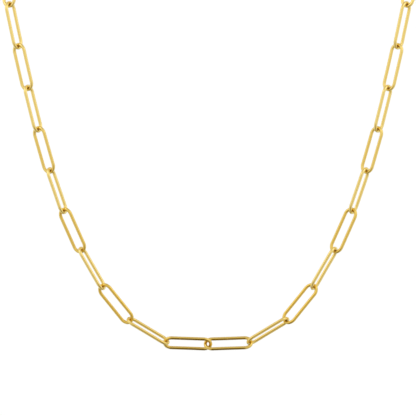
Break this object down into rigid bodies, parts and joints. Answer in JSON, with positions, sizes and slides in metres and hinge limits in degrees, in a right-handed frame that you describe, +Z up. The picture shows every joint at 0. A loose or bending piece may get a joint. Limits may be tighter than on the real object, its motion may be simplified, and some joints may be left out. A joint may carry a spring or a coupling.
{
  "type": "paperclip chain necklace",
  "caption": "Polished gold necklace of long wire links that hang in each other, closed at the nape by a small clasp between two jump rings.",
  "frame": {"origin": "middle of the clasp and its two rings, where the necklace hangs on the nape", "axes": "+X to the viewer's right, +Y to the wearer's back, +Z up; the front hangs on the -Y side"},
  "size_m": [0.1202, 0.0946, 0.1314],
  "materials": {
    "gold": "polished yellow gold plating on brass"
  },
  "bodies": {
    "root": {"link_left_01": "gold", "link_left_02": "gold", "link_left_03": "gold", "link_left_04": "gold", "link_left_05": "gold", "link_left_06": "gold", "link_left_07": "gold", "link_left_08": "gold", "link_left_09": "gold", "link_left_10": "gold", "link_left_11": "gold", "link_left_12": "gold", "link_left_13": "gold", "link_left_14": "gold", "link_left_15": "gold", "link_left_16": "gold", "link_left_17": "gold", "link_left_18": "gold", "link_right_01": "gold", "link_right_02": "gold", "link_right_03": "gold", "link_right_04": "gold", "link_right_05": "gold", "link_right_06": "gold", "link_right_07": "gold", "link_right_08": "gold", "link_right_09": "gold", "link_right_10": "gold", "link_right_11": "gold", "link_right_12": "gold", "link_right_13": "gold", "link_right_14": "gold", "link_right_15": "gold", "link_right_16": "gold", "link_right_17": "gold", "link_right_18": "gold", "clasp_ring": "gold", "clasp": "gold", "catch_ring": "gold"}
  },
  "joints": []
}
